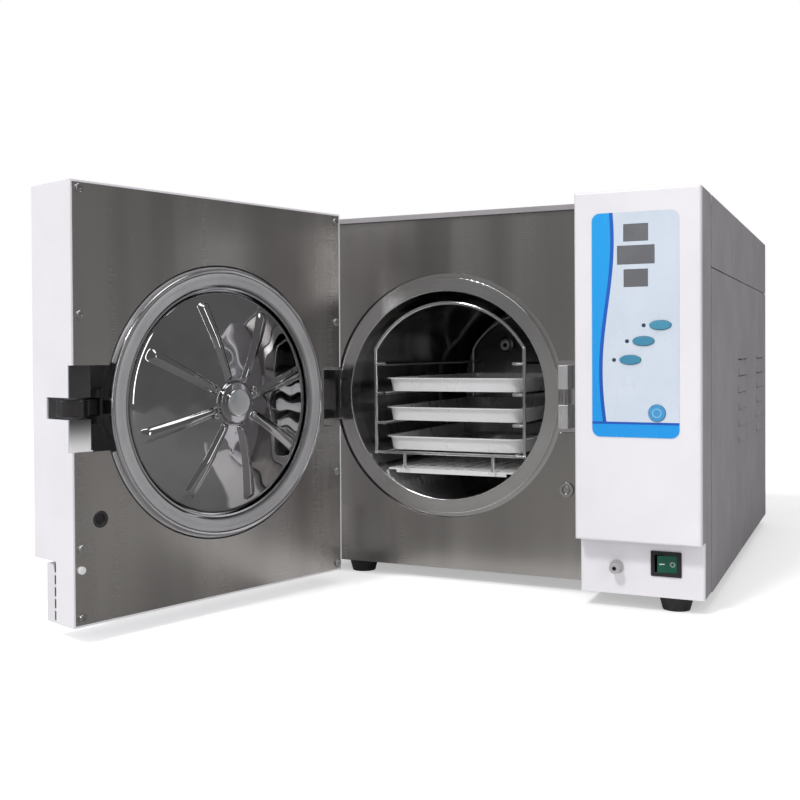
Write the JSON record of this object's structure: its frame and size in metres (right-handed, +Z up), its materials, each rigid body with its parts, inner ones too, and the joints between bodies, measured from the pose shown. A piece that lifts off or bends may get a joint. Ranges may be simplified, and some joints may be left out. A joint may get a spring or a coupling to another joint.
{
  "type": "bench steam steriliser",
  "caption": "Front-loading bench steam steriliser: grey cabinet, white control column, round pressure door hinged at the side, wire rack with trays.",
  "frame": {"origin": "on the bench under the middle of the box round the whole part, with the door open", "axes": "+Z up, +Y from the front panel to the back, +X to the side of the control column"},
  "size_m": [0.5708, 0.9664, 0.424],
  "materials": {
    "white_paint": "smooth semi-gloss",
    "grey_paint": "satin",
    "white_moulding": "satin",
    "brushed_sheet": "fine vertical brush",
    "polished_steel": "polished",
    "turned_steel": "turned",
    "zinc_steel": "zinc plated",
    "cast_frame": "as cast",
    "silicone": "matte",
    "black_rubber": "matte",
    "black_plastic": "matte",
    "dark_handle": "satin",
    "panel_film": "satin film printed in blue",
    "display_grey": "glossy",
    "light_lens": "glossy",
    "button_blue": "satin",
    "start_blue": "satin",
    "circuit_board": "satin",
    "rocker_green": "glossy",
    "tank_plastic": "translucent white",
    "pump_casting": "cast",
    "heater_band": "heat tinted",
    "glass_wool": "fibrous",
    "copper": "drawn",
    "brass_fitting": "turned",
    "tray_aluminium": "pressed, light brush",
    "rack_wire": "drawn wire"
  },
  "bodies": {
    "cabinet": {"base_plate": "zinc_steel", "rubber_feet": "black_rubber", "side_cover_left": "grey_paint", "side_cover_right": "grey_paint", "rear_panel": "grey_paint", "front_panel": "brushed_sheet", "chamber_flange": "turned_steel", "chamber_shell": "polished_steel", "band_heater": "heater_band", "insulation_jacket": "glass_wool", "chamber_saddles": "zinc_steel", "hinge_bracket": "cast_frame", "hinge_pin": "zinc_steel", "strike_blocks": "turned_steel", "strike_pin": "turned_steel", "lock_solenoid": "zinc_steel", "control_housing": "grey_paint", "control_cover": "white_paint", "control_base": "white_paint", "control_overlay": "panel_film", "display_windows": "display_grey", "status_lights": "light_lens", "control_board": "circuit_board", "switch_housing": "black_plastic", "fill_coupling": "turned_steel", "clean_water_tank": "tank_plastic", "waste_water_tank": "tank_plastic", "vacuum_pump": "pump_casting", "valve_block": "brass_fitting", "fan_frame": "black_plastic", "condenser": "tray_aluminium", "safety_valve": "brass_fitting", "steam_pipes": "copper", "mains_inlet": "black_plastic", "drain_fitting": "brass_fitting"},
    "door": {"door_cover": "white_paint", "door_inner_panel": "brushed_sheet", "door_vent_plate": "white_moulding", "gasket_retainer": "polished_steel", "door_gasket": "silicone", "door_plate": "polished_steel", "door_crossbar": "cast_frame", "door_stud": "turned_steel", "door_screws": "zinc_steel", "door_bumper": "white_moulding", "latch_liner": "polished_steel"},
    "latch": {"latch_lever": "dark_handle"},
    "top_lid": {"top_cover": "grey_paint"},
    "door_lock_bolt": {"lock_bolt": "turned_steel"},
    "rocker": {"power_rocker": "rocker_green"},
    "upper_key": {"upper_button": "button_blue"},
    "middle_key": {"middle_button": "button_blue"},
    "lower_key": {"lower_button": "button_blue"},
    "start_key": {"start_button": "start_blue"},
    "cooling_fan": {"fan_rotor": "black_plastic"},
    "tray_rack": {"rack": "rack_wire"},
    "upper_tray": {"tray_upper": "tray_aluminium"},
    "middle_tray": {"tray_middle": "tray_aluminium"},
    "lower_tray": {"tray_lower": "tray_aluminium"},
    "steam_plate": {"perforated_plate": "polished_steel"}
  },
  "joints": [
    {"name": "door_hinge", "type": "hinge", "parent": "cabinet", "child": "door", "pos_m": [-0.17172, -0.15535, 0.214], "axis": [0, 0, 1], "range_deg": [-8, 107]},
    {"name": "latch_turn", "type": "hinge", "parent": "door", "child": "latch", "pos_m": [-0.23604, -0.429, 0.214], "axis": [0, 0, 1], "range_deg": [0, 27]},
    {"name": "lock_bolt_slide", "type": "slide", "parent": "cabinet", "child": "door_lock_bolt", "axis": [0, -1, 0], "range_m": [0, 0.015], "stiffness_N_per_m": 150},
    {"name": "power_rocker_tilt", "type": "hinge", "parent": "cabinet", "child": "rocker", "pos_m": [0.24528, -0.14685, 0.05], "axis": [0, 0, 1], "range_deg": [-18, 0]},
    {"name": "upper_button_press", "type": "slide", "parent": "cabinet", "child": "upper_key", "axis": [0, 1, 0], "range_m": [0, 0.001], "stiffness_N_per_m": 600},
    {"name": "middle_button_press", "type": "slide", "parent": "cabinet", "child": "middle_key", "axis": [0, 1, 0], "range_m": [0, 0.001], "stiffness_N_per_m": 600},
    {"name": "lower_button_press", "type": "slide", "parent": "cabinet", "child": "lower_key", "axis": [0, 1, 0], "range_m": [0, 0.001], "stiffness_N_per_m": 600},
    {"name": "start_button_press", "type": "slide", "parent": "cabinet", "child": "start_key", "axis": [0, 1, 0], "range_m": [0, 0.001], "stiffness_N_per_m": 600},
    {"name": "fan_spin", "type": "hinge", "parent": "cabinet", "child": "cooling_fan", "pos_m": [0.21453, 0.44435, 0.27], "axis": [0, 1, 0], "continuous": true},
    {"name": "top_cover_lift", "type": "slide", "parent": "cabinet", "child": "top_lid", "axis": [0, 0, 1], "range_m": [0, 0.12]},
    {"name": "rack_slide", "type": "slide", "parent": "cabinet", "child": "tray_rack", "axis": [0, 1, 0], "range_m": [-0.34, 0]},
    {"name": "upper_tray_slide", "type": "slide", "parent": "tray_rack", "child": "upper_tray", "axis": [0, 1, 0], "range_m": [-0.2, 0]},
    {"name": "middle_tray_slide", "type": "slide", "parent": "tray_rack", "child": "middle_tray", "axis": [0, 1, 0], "range_m": [-0.2, 0]},
    {"name": "lower_tray_slide", "type": "slide", "parent": "tray_rack", "child": "lower_tray", "axis": [0, 1, 0], "range_m": [-0.2, 0]},
    {"name": "steam_plate_slide", "type": "slide", "parent": "cabinet", "child": "steam_plate", "axis": [0, 1, 0], "range_m": [-0.33, 0]}
  ]
}
